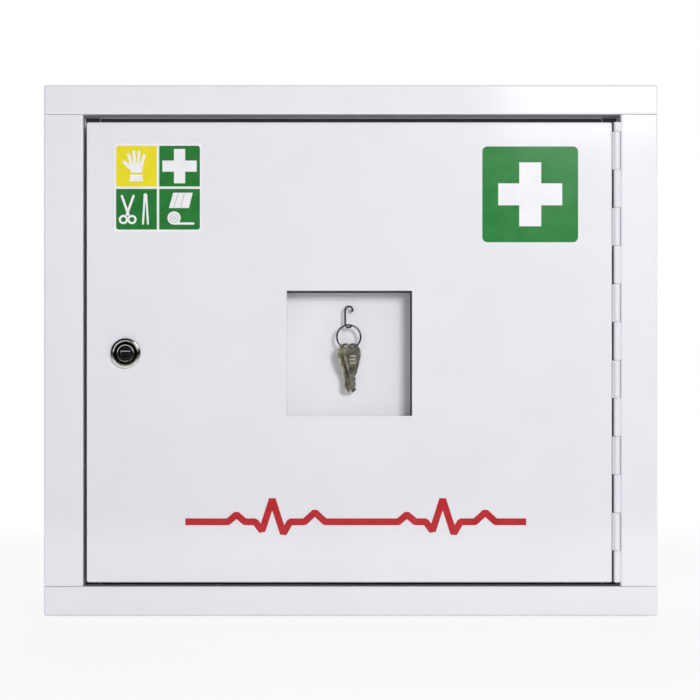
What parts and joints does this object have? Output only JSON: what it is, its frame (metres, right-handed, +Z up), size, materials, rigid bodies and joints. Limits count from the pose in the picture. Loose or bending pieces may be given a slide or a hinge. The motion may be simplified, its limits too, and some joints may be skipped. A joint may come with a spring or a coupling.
{
  "type": "medicine cabinet",
  "caption": "Lockable wall-hung medicine cabinet in white sheet steel, with an inset hinged door, a cam lock, an emergency-key box behind a pane and adjustable shelves.",
  "frame": {"origin": "middle of the cabinet's box in plan, on the plane of its underside", "axes": "+X to the right seen from the front, +Y from the front to the wall, +Z up"},
  "size_m": [0.49, 0.203, 0.424],
  "materials": {
    "frame_paint": "powder coated, semi-gloss",
    "door_paint": "powder coated, semi-gloss",
    "inner_paint": "powder coated, satin",
    "box_plastic": "moulded, satin",
    "pane": "clear, polished",
    "zinc_plate": "bright zinc plated",
    "pin_steel": "drawn",
    "buffer_rubber": "matt",
    "hook_wire": "drawn wire",
    "ring_wire": "nickel plated",
    "key_nickel": "nickel-plated brass, worn",
    "lock_chrome": "bright",
    "plug_chrome": "bright",
    "sign_green": "printed film",
    "label_yellow": "printed film",
    "marking_red": "cut film"
  },
  "bodies": {
    "cabinet": {"back_panel": "frame_paint", "top_panel": "frame_paint", "bottom_panel": "frame_paint", "left_side_panel": "frame_paint", "right_side_panel": "frame_paint", "left_front_rack": "inner_paint", "left_back_rack": "inner_paint", "right_front_rack": "inner_paint", "right_back_rack": "inner_paint", "shelf_clips": "zinc_plate", "door_buffers": "buffer_rubber", "hinge_frame_leaf": "frame_paint", "hinge_pin": "pin_steel"},
    "door": {"door_panel": "door_paint", "hinge_door_leaf": "door_paint", "key_box": "box_plastic", "key_pane": "pane", "key_box_studs": "zinc_plate", "key_box_nuts": "zinc_plate", "key_hook": "hook_wire", "lock_housing": "lock_chrome", "lock_nut": "zinc_plate", "first_aid_sign": "sign_green", "contents_label": "label_yellow", "pulse_line": "marking_red"},
    "lock": {"lock_plug": "plug_chrome", "lock_cam": "zinc_plate", "cam_screw": "zinc_plate"},
    "key_ring": {"key_ring": "ring_wire"},
    "left_key": {"left_key": "key_nickel"},
    "right_key": {"right_key": "key_nickel"},
    "lower_shelf": {"lower_shelf": "inner_paint"},
    "upper_shelf": {"upper_shelf": "inner_paint"}
  },
  "joints": [
    {"name": "door_hinge", "type": "hinge", "parent": "cabinet", "child": "door", "pos_m": [0.2121, -0.0991, 0.2105], "axis": [0, 0, 1], "range_deg": [0, 170]},
    {"name": "lock_turn", "type": "hinge", "parent": "door", "child": "lock", "pos_m": [-0.1796, -0.0985, 0.2097], "axis": [0, -1, 0], "range_deg": [0, 90]},
    {"name": "ring_swing", "type": "hinge", "parent": "door", "child": "key_ring", "pos_m": [-0.00117, -0.08433, 0.231], "axis": [0, 1, 0], "range_deg": [-15, 15]},
    {"name": "left_key_slide_round", "type": "hinge", "parent": "key_ring", "child": "left_key", "pos_m": [-0.00117, -0.08433, 0.2234], "axis": [0, 1, 0], "range_deg": [0, 35]},
    {"name": "right_key_slide_round", "type": "hinge", "parent": "key_ring", "child": "right_key", "pos_m": [-0.00117, -0.08433, 0.2234], "axis": [0, 1, 0], "range_deg": [-35, 0]},
    {"name": "lower_shelf_lift", "type": "slide", "parent": "cabinet", "child": "lower_shelf", "axis": [0, 0, 1], "range_m": [0, 0.02]},
    {"name": "upper_shelf_lift", "type": "slide", "parent": "cabinet", "child": "upper_shelf", "axis": [0, 0, 1], "range_m": [0, 0.02]}
  ]
}
